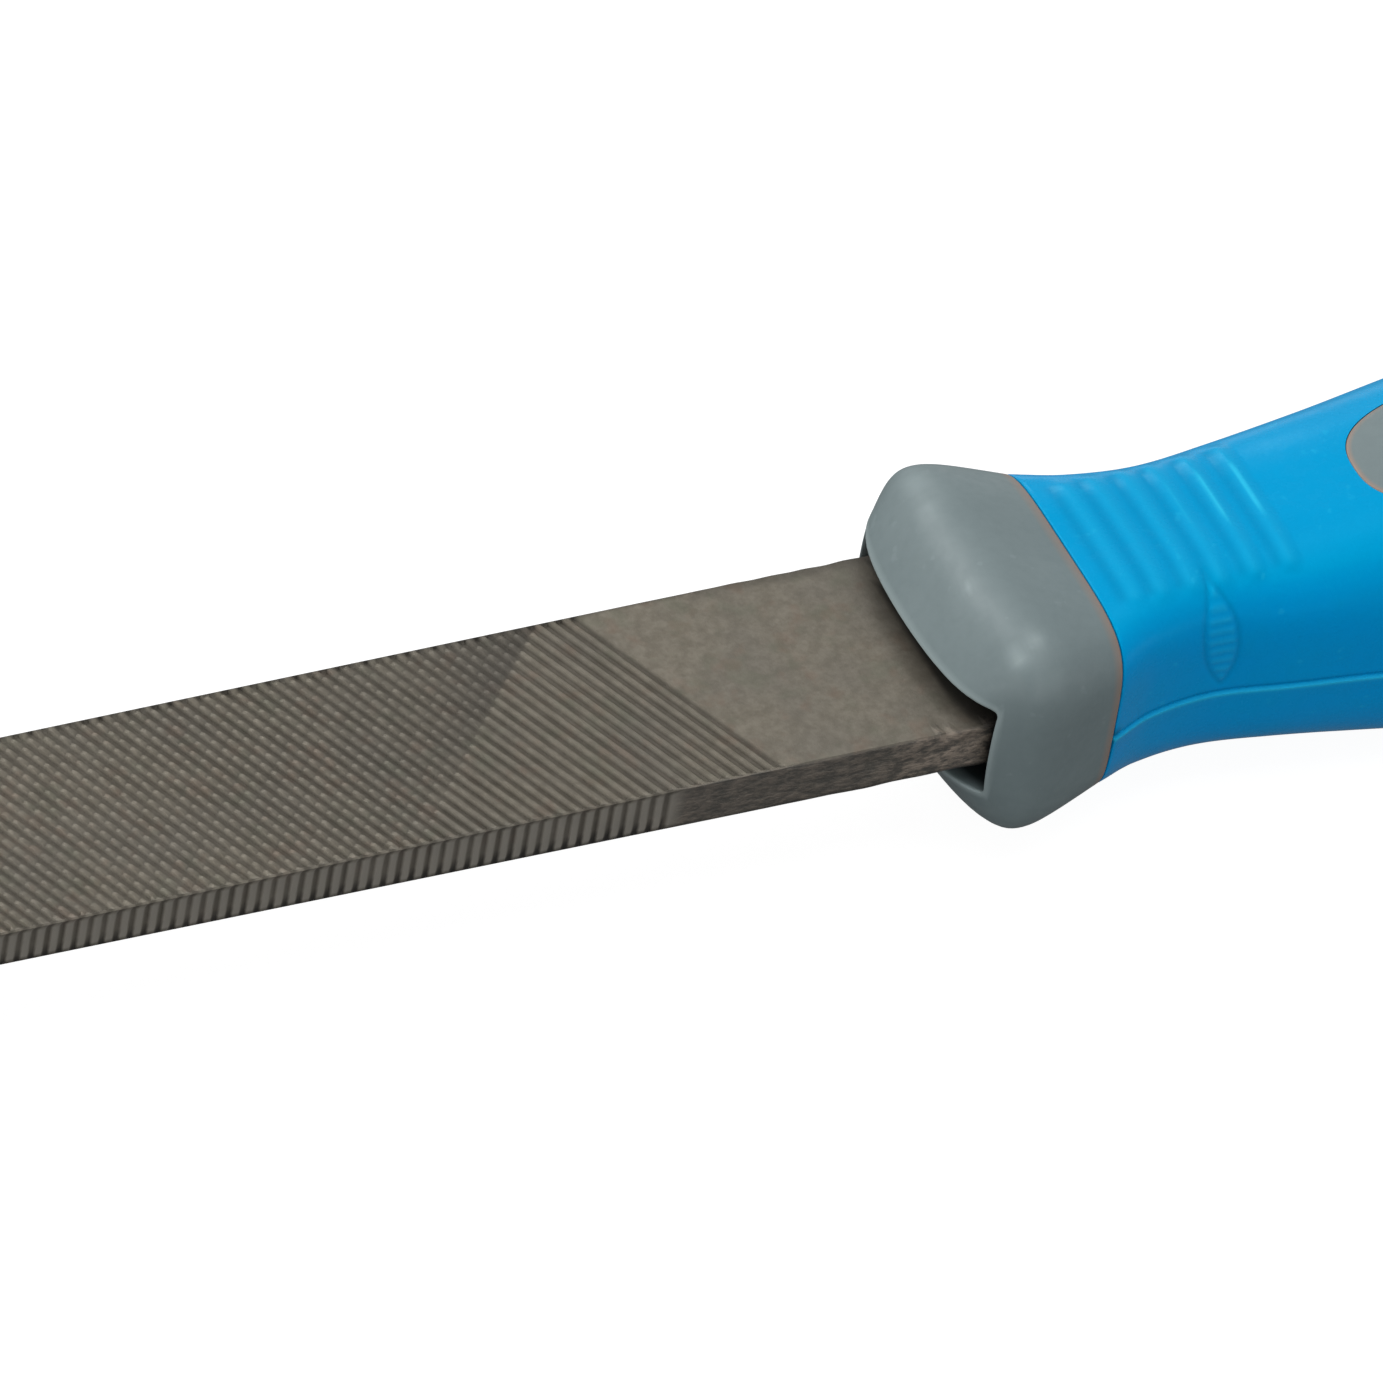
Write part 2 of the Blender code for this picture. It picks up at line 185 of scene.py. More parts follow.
def steel_material():
    """Dark, satin tool steel: light crests, painted shade in the valleys and towards the collar, a mottled
    uncut heel with rougher sides.
    """
    g = Graph("tool_steel")
    depth = g.attribute("depth")
    cloud = g.noise(1.2 * MM, 4.0, roughness=0.62)
    grain = g.noise(0.40 * MM, 3.0)
    broad = g.noise(8 * MM, 2.0)
    tone = g.mix(g.span(cloud, 0.33, 0.68), STEEL_DARK, STEEL_LIGHT)
    tone = g.mix(g.span(broad, 0.35, 0.7, 0.0, 0.30), tone, STEEL_COOL)
    tone = g.mix(g.span(grain, 0.3, 0.75, 0.0, 0.25), tone, STEEL_GRAIN)
    tone = g.mix(g.span(g.noise(1.9 * MM, 2.0), 0.52, 0.72, 0.0, 0.30), tone, STEEL_RUST)
    tone = g.mix(g.span(g.noise(2.6 * MM, 2.0), 0.52, 0.72, 0.0, 0.30), tone, STEEL_OLIVE)
    # Painted shade on the blade's heel towards the collar, mottled by the cloud noise.
    collar_shade = g.span(g.part("X"), SLOT_X - 6.0 * MM, SLOT_X - 0.5 * MM, 0.0, 0.46)
    collar_shade = g.math("MULTIPLY", collar_shade, g.span(cloud, 0.2, 0.6, 0.6, 1.0))
    tone = g.mix(collar_shade, tone, STEEL_SHADE)
    scale = g.noise(0.75 * MM, 4.0, (2.0, 1.0, 0.8), 0.68)
    side_tone = g.mix(g.span(scale, 0.36, 0.66), SIDE_DARK, SIDE_LIGHT)
    side_tone = g.mix(g.span(g.part("X"), SLOT_X - 11 * MM, SLOT_X - 3 * MM, 0.62, 0.0), side_tone, SIDE_DARK)
    tone = g.mix(g.math("MULTIPLY", g.attribute("side"), 0.85), tone, side_tone)
    # A darker band along the over-cut's start, towards the far edge.
    tone = g.mix(g.math("MULTIPLY", g.attribute("overcut_band"), 0.66), tone, STEEL_SHADE)
    tone = g.mix(g.math("MULTIPLY", g.attribute("fresh"), 0.84), tone, STEEL_FRESH)
    # Painted shade in the tooth valleys.
    tone = g.mix(g.span(depth, 0.05, 0.95, 0.0, 0.51), tone, VALLEY_SHADE)
    tone = g.mix(g.math("MULTIPLY", g.attribute("gloom"), 0.90), tone, STEEL_BLACK)
    rough = g.math("ADD", g.span(cloud, 0.2, 0.8, 0.42, 0.52), g.math("MULTIPLY", depth, 0.12))
    fine = g.bump(grain, 0.03 * MM, 0.5)
    pits = g.bump(g.math("MULTIPLY", scale, g.attribute("side")), 0.25 * MM, 0.8, fine)
    normal = g.bump(g.noise(0.14 * MM, 2.0), 0.02 * MM, 0.4, pits)
    return g.finish(tone, rough, Normal=normal, Metallic=0.5)


JOINT_BROWN = (0.250, 0.180, 0.140)
# Painted shade for the inside of the slot.
POCKET_SHADE = (0.004, 0.006, 0.007)


def plastic_material(name, colours, roughness, mottle=0.35, tint=None, shine=0.5):
    """Satin moulded plastic with faint flow marks and a very fine texture.

    The colours are the base, a lighter and a darker mottle, the painted highlights, the flanks' painted side
    shading and the grooves' painted shade."""
    base, light, dark, painted_highlight, painted_flank, groove_shade = colours
    g = Graph(name)
    flow = g.noise(4.5 * MM, 3.0, (1.6, 1.0, 1.0))
    speck = g.noise(0.9 * MM, 3.0)
    # Painted side shading on the flanks.
    tone = g.mix(g.attribute("painted_flank"), base, painted_flank)
    tone = g.mix(g.span(flow, 0.30, 0.70, 0.0, mottle), tone, light)
    tone = g.mix(g.span(speck, 0.35, 0.75, 0.0, mottle * 0.6), tone, dark)
    # Sparse painted highlight specks.
    glint_specks = g.span(g.noise(1.3 * MM, 2.0), 0.66, 0.74, 0.0, 0.8 * mottle)
    tone = g.mix(g.math("MULTIPLY", glint_specks, 0.6), tone, painted_highlight)
    # Painted shade in the grooves.
    tone = g.mix(g.attribute("groove_shade"), tone, groove_shade)
    # Painted highlights.
    tone = g.mix(g.attribute("painted_highlight"), tone, painted_highlight)
    tone = g.mix(g.attribute("rear_line"), tone, JOINT_BROWN)
    # Painted shade deep inside the slot.
    tone = g.mix(g.math("MULTIPLY", g.attribute("pocket_shade"), 0.93), tone, POCKET_SHADE)
    rough = g.span(speck, 0.25, 0.8, roughness - 0.04, roughness + 0.06)
    coarse = g.bump(flow, 0.30 * MM, 0.30)
    normal = g.bump(g.noise(0.22 * MM, 2.0), 0.012 * MM, 0.35, coarse)
    values = {"Normal": normal, "Specular_IOR_Level": shine}
    if tint:
        values["Specular_Tint"] = (*tint, 1.0)
    return g.finish(tone, rough, **values)


# ---- shapes
def blend(low, high, share):
    return low + (high - low) * share


def peak(away, width):
    """1 on a line, and falling softly away from it."""
    return np.exp(-((away / width) ** 2))


def smooth(value):
    """Rises softly from 0 to 1."""
    value = np.clip(value, 0.0, 1.0)
    return value * value * (3 - 2 * value)


def add_grid(builder, rows, closed=True):
    """Joins rows of points, in metres from the slot corners, with quads. Returns the rows' vertices."""
    made = [[builder.verts.new(ORIGIN + np.asarray(point)) for point in row] for row in rows]
    for first, second in zip(made, made[1:]):
        count = len(first)
        for step in range(count if closed else count - 1):
            after = (step + 1) % count
            builder.faces.new((first[step], second[step], second[after], first[after]))
    return made


def close_ring(builder, made):
    """Joins the last row of a grid to its first, which closes the wall of a hollow piece."""
    for step in range(len(made[0])):
        after = (step + 1) % len(made[0])
        builder.faces.new((made[-1][step], made[0][step], made[0][after], made[-1][after]))


def add_cap_ends(builder, made):
    builder.faces.new(made[0])
    builder.faces.new(list(reversed(made[-1])))


def make_object(name, builder):
    mesh = bpy.data.meshes.new(name)
    builder.to_mesh(mesh)
    builder.free()
    made = bpy.data.objects.new(name, mesh)
    bpy.context.scene.collection.objects.link(made)
    return made


def make_cutter(name, rows):
    """A closed solid through these rows, to cut a piece with."""
    builder = bmesh.new()
    add_cap_ends(builder, add_grid(builder, rows))
    bmesh.ops.recalc_face_normals(builder, faces=builder.faces)
    return make_object(name, builder)


def finish_piece(name, builder, material, body, node, sharp):
    bmesh.ops.recalc_face_normals(builder, faces=builder.faces)
    piece = make_object(name, builder)
    piece.data.materials.append(material)
    piece.data.shade_smooth()
    piece.data.set_sharp_from_angle(angle=math.radians(sharp))
    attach(piece, body)
    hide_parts(node)
    return piece


def apply_boolean(piece, cutter):
    """Cuts a piece's mesh and removes the cutter."""
    modifier = piece.modifiers.new("cut", "BOOLEAN")
    modifier.operation = "DIFFERENCE"
    modifier.solver = "EXACT"
    modifier.object = cutter
    graph = bpy.context.evaluated_depsgraph_get()
    mesh = bpy.data.meshes.new_from_object(piece.evaluated_get(graph))
    piece.modifiers.clear()
    piece.data = mesh
    bpy.data.objects.remove(cutter, do_unlink=True)


def squared_quadrant(half_width, half_height, squareness):
    """Dense points of a superellipse from its side to its top."""
    turn = np.linspace(0.0, math.pi / 2, 400)
    powers = (np.cos(turn) / half_width) ** squareness + (np.sin(turn) / half_height) ** squareness
    reach = powers ** (-1 / squareness)
    return np.stack((reach * np.cos(turn), reach * np.sin(turn)), axis=1)


def rounded_quadrant(half_width, half_height, radius):
    """Dense points of a rectangle with rounded corners, from its side to its top."""
    turn = np.linspace(0.0, math.pi / 2, 60)
    flat_width, flat_height = half_width - radius, half_height - radius
    arc = np.column_stack((flat_width + radius * np.cos(turn), flat_height + radius * np.sin(turn)))
    up = np.linspace(0.0, flat_height, 120, endpoint=False)
    inwards = np.linspace(flat_width, 0.0, 121)[1:]
    side = np.column_stack((np.full(len(up), half_width), up))
    top = np.column_stack((inwards, np.full(len(inwards), half_height)))
    return np.concatenate((side, arc, top))


def resample(path, shares):
    """Points at these shares of a path's length."""
    steps = np.linalg.norm(np.diff(path, axis=0), axis=1)
    along = np.concatenate(((0.0,), np.cumsum(steps)))
    wanted = np.asarray(shares) * along[-1]
    return np.stack([np.interp(wanted, along, path[:, axis]) for axis in (0, 1)], axis=1)


def corner_index(quadrant):
    """Where a quadrant turns from its side to its top."""
    scaled = quadrant / quadrant.max(axis=0)
    return int(np.argmin(abs(scaled[:, 0] - scaled[:, 1])))


def sided_loop(quadrant, shares):
    """A whole loop, with each of its four sides, corner to corner, sampled at the same shares."""
    corner = corner_index(quadrant)
    half_side, half_top = quadrant[: corner + 1], quadrant[corner:]
    side = np.concatenate(((half_side * (1, -1))[::-1], half_side[1:]))
    top = np.concatenate((half_top, (half_top * (-1, 1))[::-1][1:]))
    right, over = resample(side, shares)[:-1], resample(top, shares)[:-1]
    return np.concatenate((right, over, -right, -over))


SIDE_SHARES = np.concatenate(
    (np.linspace(0.0, 0.06, 5)[:-1], np.linspace(0.06, 0.94, 25), np.linspace(0.94, 1.0, 5)[1:])
)

# Grip, behind the collar: distance from the collar, half width, half height, squareness.
GRIP_STATIONS = (
    (0.0 * MM, 11.60 * MM, 8.20 * MM, 4.6),
    (4.0 * MM, 9.85 * MM, 8.65 * MM, 4.4),
    (9.5 * MM, 9.10 * MM, 8.85 * MM, 4.2),
    (16.0 * MM, 9.90 * MM, 9.20 * MM, 3.9),
    (24.0 * MM, 10.90 * MM, 10.35 * MM, 3.5),
    (38.0 * MM, 13.40 * MM, 11.80 * MM, 3.1),
    (54.0 * MM, 14.80 * MM, 12.50 * MM, 2.8),
    (70.0 * MM, 13.90 * MM, 11.90 * MM, 2.8),
    (86.0 * MM, 12.60 * MM, 10.90 * MM, 2.9),
    (98.0 * MM, 13.40 * MM, 10.80 * MM, 3.0),
    (105.7 * MM, 13.40 * MM, 10.60 * MM, 3.0),
)


def hermite(low, slope_in, high, slope_out, share):
    square, cube = share * share, share * share * share
    return (
        (2 * cube - 3 * square + 1) * low
        + (cube - 2 * square + share) * slope_in
        + (3 * square - 2 * cube) * high
        + (cube - square) * slope_out
    )


def grip_section(distance):
    """Half width, half height and squareness of the grip at a distance behind the collar."""
    stations = GRIP_STATIONS
    index = 0
    while index < len(stations) - 2 and stations[index + 1][0] < distance:
        index += 1
    before = stations[max(index - 1, 0)]
    low, high = stations[index], stations[index + 1]
    after = stations[min(index + 2, len(stations) - 1)]
    gap = high[0] - low[0]
    share = (distance - low[0]) / gap
    values = []
    for column in (1, 2, 3):
        slope_in = (high[column] - before[column]) / (high[0] - before[0]) * gap
        slope_out = (after[column] - low[column]) / (after[0] - low[0]) * gap
        values.append(hermite(low[column], slope_in, high[column], slope_out, share))
    return values


# ---- blade
TIP_WIDTH = 13.5 * MM
TIP_THICKNESS = 2.0 * MM
WIDTH_TAPER_LENGTH = 72.0 * MM
PARALLEL_HEEL = 20.0 * MM
EDGE_CHAMFER = 0.12 * MM
TOOTH_FADE = 0.40 * MM  # the teeth run out this far from a corner
TIP = TIP_X - SLOT_X

UP_CUT_PITCH = 1.153 * MM  # along the blade
UP_CUT_LEAN = 0.42  # how far a row runs along the blade for its reach across it
UP_CUT_START = -21.41 * MM
UP_CUT_DEPTH = 0.27 * MM
# A cut's profile: each line's share of the pitch and share of the depth.
UP_CUT_PHASES = ((0.0, 1.0), (0.26, 0.78), (0.54, 0.05), (0.84, 0.0))
OVER_CUT_PITCH = 1.434 * MM
OVER_CUT_LEAN = 0.95
OVER_CUT_START = -38.23 * MM
OVER_CUT_DEPTH = 0.112 * MM
OVER_CUT_PHASES = ((0.0, 1.0), (0.30, 0.10), (0.74, 0.0))
EDGE_CUT_PITCH = 1.158 * MM
EDGE_CUT_START = -26.6 * MM
EDGE_CUT_DEPTH = 0.20 * MM
EDGE_CUT_PHASES = ((0.0, 1.0), (0.22, 0.85), (0.46, 0.05), (0.84, 0.0))
UP_CUT_LEAD, OVER_CUT_LEAD, EDGE_CUT_LEAD = 9.3, 26.3, 9.3  # pitches of uncut blade before each cut
ROW_RISE = 0.22  # pitches from the uncut surface to a cut's first valley
ON_PLANE = 2e-7  # how near a vertex lies to the plane it was cut on
SECTION_START = -16.5 * MM  # where the toothed grid ends and the heel's rings begin
BLADE_SEAT = -0.45 * MM  # the photographed blade sits this far off centre in its slot


def blade_width(x):
    share = np.clip((WIDTH_TAPER_LENGTH + TIP - x) / WIDTH_TAPER_LENGTH, 0.0, 1.0)
    return BLADE_WIDTH - (BLADE_WIDTH - TIP_WIDTH) * share * share


def blade_thickness(x):
    share = np.clip((-PARALLEL_HEEL - x) / (-TIP - PARALLEL_HEEL), 0.0, 1.0)
    return blend(BLADE_THICKNESS, TIP_THICKNESS, share)


def tooth_lines(phases, first, last, uncut_step=1.0):
    """A cut's lines, in pitches from its first valley, and the share of its depth that each has."""
    places = list(np.arange(first, -0.3, uncut_step)) + [-ROW_RISE]
    depths = [0.0] * len(places)
    for row in range(math.ceil(last)):
        for phase, depth in phases:
            places.append(row + phase)
            depths.append(depth)
    return np.array(places), np.array(depths)


def add_face(builder, facing):
    """A cut face, on a grid that follows both cuts. facing is 1 for the top and -1 underneath."""
    reach = BLADE_WIDTH / 2 - EDGE_CHAMFER
    up_rows = (UP_CUT_START - TIP + 8 * MM) / UP_CUT_PITCH
    over_rows = (OVER_CUT_START - TIP + 14 * MM) / OVER_CUT_PITCH
    up_lines, up_depths = tooth_lines(UP_CUT_PHASES, -UP_CUT_LEAD, up_rows)
    over_lines, over_depths = tooth_lines(OVER_CUT_PHASES, -OVER_CUT_LEAD, over_rows, 0.25)
    up, over = np.meshgrid(up_lines, over_lines, indexing="ij")
    gap = UP_CUT_START - OVER_CUT_START
    y = (gap - up * UP_CUT_PITCH + over * OVER_CUT_PITCH) / (UP_CUT_LEAN + OVER_CUT_LEAN)
    x = UP_CUT_START - UP_CUT_LEAN * y - up * UP_CUT_PITCH
    wobble = 1 + 0.10 * np.sin(up_lines * 6.1)[:, None] + 0.06 * np.sin(x * 900 + y * 1300)
    up_depth = up_depths[:, None] * UP_CUT_DEPTH * wobble
    over_depth = over_depths[None, :] * OVER_CUT_DEPTH * (1 + 0.12 * np.sin(over_lines * 3.7))[None, :]
    depth = np.maximum(up_depth, over_depth + 0.3 * up_depth)
    z = BLADE_THICKNESS / 2 - depth
    margin = 1.0 * MM
    used = (abs(y) < reach + margin) & (x > TIP - margin) & (x < SECTION_START + margin)
    sheet = bmesh.new()
    verts = {}
    for key in zip(*np.nonzero(used)):
        verts[key] = sheet.verts.new(ORIGIN + (x[key], facing * y[key], facing * z[key]))
    for i, j in verts:
        corners = [verts.get(key) for key in ((i, j), (i + 1, j), (i + 1, j + 1), (i, j + 1))]
        if all(corners):
            sheet.faces.new(corners)
    for side in (1, -1):
        trim(sheet, (0, side * (reach - TOOTH_FADE), 0), (0, side, 0), False)
        trim(sheet, (0, side * reach, 0), (0, side, 0))
    for vert in sheet.verts:
        if abs(abs(vert.co.y) - reach) < ON_PLANE:
            vert.co.z = AXIS_Z + facing * BLADE_THICKNESS / 2
    mesh = bpy.data.meshes.new("sheet")
    sheet.to_mesh(mesh)
    sheet.free()
    before = len(builder.verts)
    builder.from_mesh(mesh)
    bpy.data.meshes.remove(mesh)
    builder.verts.ensure_lookup_table()
    return builder.verts[before:]


def trim(builder, place, outwards, clear=True):
    """Cuts along a plane and, if clear is set, takes off what lies beyond it."""
    bmesh.ops.bisect_plane(
        builder,
        geom=list(builder.verts) + list(builder.edges) + list(builder.faces),
        dist=1e-7,
        plane_co=Vector(ORIGIN) + Vector(place),
        plane_no=outwards,
        clear_outer=clear,
    )


def border_line(verts, side):
    """A face's vertices along one edge of the blade, from the heel to the tip."""
    reach = BLADE_WIDTH / 2 - EDGE_CHAMFER
    line = [v for v in verts if abs(v.co.y - side * reach) < ON_PLANE]
    return sorted(line, key=lambda v: -v.co.x)


def edge_sheet(facing):
    """A narrow side of the blade, as rows of points across its thickness. facing is 1 for +Y."""
    rows = (EDGE_CUT_START - TIP + 3 * MM) / EDGE_CUT_PITCH
    lines, depths = tooth_lines(EDGE_CUT_PHASES, -EDGE_CUT_LEAD, rows)
    half = BLADE_THICKNESS / 2 - EDGE_CHAMFER
    levels = np.array((half, half - TOOTH_FADE, half / 3, -half / 3, TOOTH_FADE - half, -half))
    shares = np.array((0.0, 1.0, 1.0, 1.0, 1.0, 0.7))
    line, z = np.meshgrid(lines, levels, indexing="ij")
    x = EDGE_CUT_START - line * EDGE_CUT_PITCH
    y = BLADE_WIDTH / 2 - depths[:, None] * shares * EDGE_CUT_DEPTH * (1 + 0.10 * np.sin(line * 5.3))
    return np.stack((x, facing * y, z), axis=2)


def taper(builder):
    """Narrows and thins the straight blade towards its tip, keeping the teeth's depth on the faces."""
    skin = 0.8 * MM
    for vert in builder.verts:
        x, y, z = np.array(vert.co) - ORIGIN
        half, thin = BLADE_THICKNESS / 2, blade_thickness(x) / 2
        if abs(z) > half - skin:
            z = math.copysign(abs(z) - (half - thin), z)
        else:
            z = z * (thin - skin) / (half - skin)
        vert.co = ORIGIN + (x, y * blade_width(x) / BLADE_WIDTH, z)


def zip_strip(builder, first, second, first_keys, second_keys):
    """Triangles between two lines of vertices, taken in the order of their keys."""
    i = j = 0
    while i < len(first) - 1 or j < len(second) - 1:
        if j == len(second) - 1 or (i < len(first) - 1 and first_keys[i + 1] < second_keys[j + 1]):
            builder.faces.new((first[i], first[i + 1], second[j]))
            i += 1
        else:
            builder.faces.new((first[i], second[j + 1], second[j]))
            j += 1


def boundary_loop(builder, near_x):
    """The open border at this place along the blade, in order."""
    open_edges = [edge for edge in builder.edges if edge.is_boundary]
    border = [e for e in open_edges if abs((e.verts[0].co.x + e.verts[1].co.x) / 2 - near_x) < 1e-5]
    links = {}
    for edge in border:
        for vert in edge.verts:
            links.setdefault(vert, []).append(edge.other_vert(vert))
    start = border[0].verts[0]
    loop, before = [start], None
    while True:
        following = [v for v in links[loop[-1]] if v is not before]
        before = loop[-1]
        if following[0] is start or len(loop) > len(links):
            return loop
        loop.append(following[0])


HEEL_START = -15.5 * MM
HEEL_STEP = 0.5 * MM
HEEL_CORNER = 0.16 * MM
SHOULDER_START = 0.5 * MM
SHOULDER_END = 7.0 * MM
TANG_ROOT_WIDTH, TANG_ROOT_THICKNESS = 10.8 * MM, 3.8 * MM
TANG_END_WIDTH, TANG_END_THICKNESS = 4.4 * MM, 2.4 * MM
TANG_END = 64.0 * MM
# Small dents in the heel: centre, radius, depth.
HEEL_DENTS = (
    ((-3.4 * MM, -9.9 * MM, 1.9 * MM), 0.55 * MM, 0.22 * MM),
    ((-1.6 * MM, -9.9 * MM, 0.9 * MM), 0.8 * MM, 0.16 * MM),
    ((-6.2 * MM, -10.0 * MM, -0.4 * MM), 0.9 * MM, 0.12 * MM),
    ((-9.8 * MM, -10.0 * MM, 0.8 * MM), 0.8 * MM, 0.10 * MM),
    ((-4.6 * MM, 9.9 * MM, -1.2 * MM), 0.9 * MM, 0.14 * MM),
)


def heel_stations():
    """Place, width and thickness along the uncut heel, the shoulders and the tang."""
    heel = np.arange(HEEL_START, SHOULDER_START + 0.01 * MM, HEEL_STEP)
    stations = [(x, BLADE_WIDTH, BLADE_THICKNESS) for x in heel]
    for step in range(1, 13):
        angle = math.pi / 2 * step / 12
        x = blend(SHOULDER_START, SHOULDER_END, math.sin(angle) ** 1.6)
        width = blend(TANG_ROOT_WIDTH, BLADE_WIDTH, math.cos(angle))
        thickness = blend(TANG_ROOT_THICKNESS, BLADE_THICKNESS, math.cos(angle))
        stations.append((x, width, thickness))
    for step in range(1, 9):
        share = step / 8
        width = blend(TANG_ROOT_WIDTH, TANG_END_WIDTH, share)
        thickness = blend(TANG_ROOT_THICKNESS, TANG_END_THICKNESS, share)
        stations.append((blend(SHOULDER_END, TANG_END, share), width, thickness))
    return stations


def heel_ring(x, width, thickness):
    """One ring, with small dents and swells where the heel was forged."""
    quadrant = rounded_quadrant(width / 2, thickness / 2, HEEL_CORNER)
    roughness = smooth((x + 15 * MM) / (5 * MM))
    points = []
    for y, z in sided_loop(quadrant, np.linspace(0.0, 1.0, 17)):
        on_side = smooth((abs(y) - width / 2 + 0.6 * MM) / (0.5 * MM))
        sink = noise.noise(Vector((x, y, z)) / (2.2 * MM)) * (0.018 + 0.05 * on_side) * MM * roughness
        for centre, radius, depth in HEEL_DENTS:
            away = math.dist((x, y, z), centre) / radius
            sink += depth * math.exp(-away * away)
        points.append((x, y * (1 - sink / (width / 2)), z * (1 - sink / (thickness / 2))))
    return points


def build_blade(material):
    builder = bmesh.new()
    lines = {}
    for facing in (1, -1):
        face = add_face(builder, facing)
        for side in (1, -1):
            lines["face", facing, side] = border_line(face, side)
        edge = add_grid(builder, edge_sheet(facing), closed=False)
        lines["edge", facing, 1] = [row[0] for row in edge]
        lines["edge", facing, -1] = [row[-1] for row in edge]
    for top in (1, -1):
        for side in (1, -1):
            pair = lines["face", top, side], lines["edge", side, top]
            zip_strip(builder, *pair, *[[-vert.co.x for vert in line] for line in pair])
    bmesh.ops.recalc_face_normals(builder, faces=builder.faces)
    taper(builder)
    trim(builder, (TIP, 0, 0), (-1, 0, 0))
    trim(builder, (SECTION_START, 0, 0), (1, 0, 0))
    builder.faces.new(boundary_loop(builder, SLOT_X + TIP))
    front = boundary_loop(builder, SLOT_X + SECTION_START)
    rings = add_grid(builder, [heel_ring(*station) for station in heel_stations()])
    builder.faces.new(rings[-1])
    join_loops(builder, front, rings[0])
    bmesh.ops.translate(builder, verts=builder.verts, vec=(0, BLADE_SEAT, 0))
    piece = finish_piece("file_blade_cut", builder, material, "blade", "file_blade", 28.0)
    mark_blade(piece)
    return piece


def loop_turns(loop):
    """Each vertex's angle round the blade, on a section squeezed to a square."""
    turns = []
    for vert in loop:
        y = vert.co.y / (BLADE_WIDTH / 2)
        z = (vert.co.z - AXIS_Z) / (BLADE_THICKNESS / 2)
        turns.append(math.atan2(z, y) % (2 * math.pi))
    return turns


def join_loops(builder, first, second):
    """Triangles between two closed loops that face each other along the blade."""
    ordered = []
    for loop in (first, second):
        turns = loop_turns(loop)
        if sum(1 for a, b in zip(turns, turns[1:]) if b > a) < len(turns) / 2:
            loop, turns = list(reversed(loop)), list(reversed(turns))
        start = turns.index(min(turns))
        loop, turns = loop[start:] + loop[:start], turns[start:] + turns[:start]
        ordered.append((loop + loop[:1], turns + [turns[0] + 2 * math.pi]))
    (a, turn_a), (b, turn_b) = ordered
    zip_strip(builder, a, b, turn_a, turn_b)


def lip_place(y):
    """How far along the file the middle of the collar's lip lies, above and below the blade."""
    across = np.clip(abs(y) / (SLOT_WIDTH / 2), 0.0, 1.0)
    return -LIP_ADVANCE - NOSE_SWEEP * (1 - across**2) - NOSE_CORNER_SWEEP * (1 - across**6)


def blade_gloom(x, y, z, on_face, below_edge):
    """The shade in the collar's mouth, in the edges' valleys and along the blade's lower and far corners."""
    half_thick = blade_thickness(x) / 2
    reach = blend(0.08 * MM, 1.0 * MM, smooth((-y - 5 * MM) / (4 * MM)))
    under_lip = 0.8 * (1 - smooth((lip_place(y) + 1.1 * MM - x) / reach))
    gloom = np.where(on_face, under_lip, smooth((x + 0.15 * MM) / (0.45 * MM)))
    phase = (EDGE_CUT_START - x) / EDGE_CUT_PITCH - 0.12
    valley = 1 - smooth((abs(phase - np.round(phase)) - 0.16) / 0.12)
    low = smooth((-z - half_thick / 2) / (0.6 * MM)) * (x < EDGE_CUT_START) * (below_edge < 0.3 * MM)
    bottom_line = smooth((-z - half_thick + 0.34 * MM) / (0.14 * MM)) * (below_edge < 0.14 * MM)
    far_line = smooth((y - BLADE_SEAT - blade_width(x) / 2 + 0.30 * MM) / (0.14 * MM))
    for shade, share in ((low * valley, 0.95), (bottom_line, 0.55), (far_line, 0.45)):
        gloom = np.maximum(gloom, share * shade)
    return gloom * (1 - 0.65 * smooth((x - 5 * MM) / (8 * MM)))


def mark_blade(piece):
    """Stores, for the material, how deep each vertex is with painted valley shade at the corners, the darker
    over-cut band, the painted shade, and how freshly cut or rough it is.
    """
    mesh = piece.data
    x, y, z = vertex_places(mesh).T
    off_centre, facing = y - BLADE_SEAT, np.sign(z)
    below_face = blade_thickness(x) / 2 - abs(z)
    below_edge = blade_width(x) / 2 - abs(off_centre)
    on_face = below_face < 0.3 * MM
    depth = np.minimum(below_face, below_edge) / UP_CUT_DEPTH
    depth = np.where(x > SECTION_START, 0.0, np.clip(depth, 0.0, 1.0))
    across = off_centre * facing * BLADE_WIDTH / blade_width(x)
    row = (UP_CUT_START - UP_CUT_LEAN * across - x) / UP_CUT_PITCH - 0.13
    # Painted valley shade carried on to the corners, where the teeth's geometry runs out.
    row_valley = (row > -0.5) * (1 - smooth((abs(row - np.round(row)) - 0.18) / 0.16))
    near_corner = on_face * smooth((0.62 * MM - below_edge) / (0.2 * MM))
    depth = np.maximum(depth, row_valley * near_corner)
    store(mesh, "depth", depth)
    # A darker band along the over-cut's start, towards the far edge.
    rows = (OVER_CUT_START + OVER_CUT_LEAN * off_centre * facing - x) / OVER_CUT_PITCH
    band = smooth((rows + 0.4) / 0.8) * np.exp(-np.maximum(rows, 0) / 4.5)
    store(mesh, "overcut_band", band * smooth((off_centre * facing + 8 * MM) / (14 * MM)))
    store(mesh, "gloom", blade_gloom(x, y, z, on_face, below_edge))
    fresh = smooth((0.30 * MM - below_edge) / (0.1 * MM)) * smooth((EDGE_CUT_START + 1 * MM - x) / MM)
    at_corner = smooth((0.36 * MM - below_face) / (0.2 * MM))
    store(mesh, "fresh", fresh * (1 - depth) * (1 - 0.85 * at_corner))
    uncut = smooth((x - EDGE_CUT_START - 0.2 * MM) / (1.5 * MM))
    side = uncut * smooth((0.35 * MM - below_edge) / (0.3 * MM))
    store(mesh, "side", side * (below_face > 0.05 * MM))


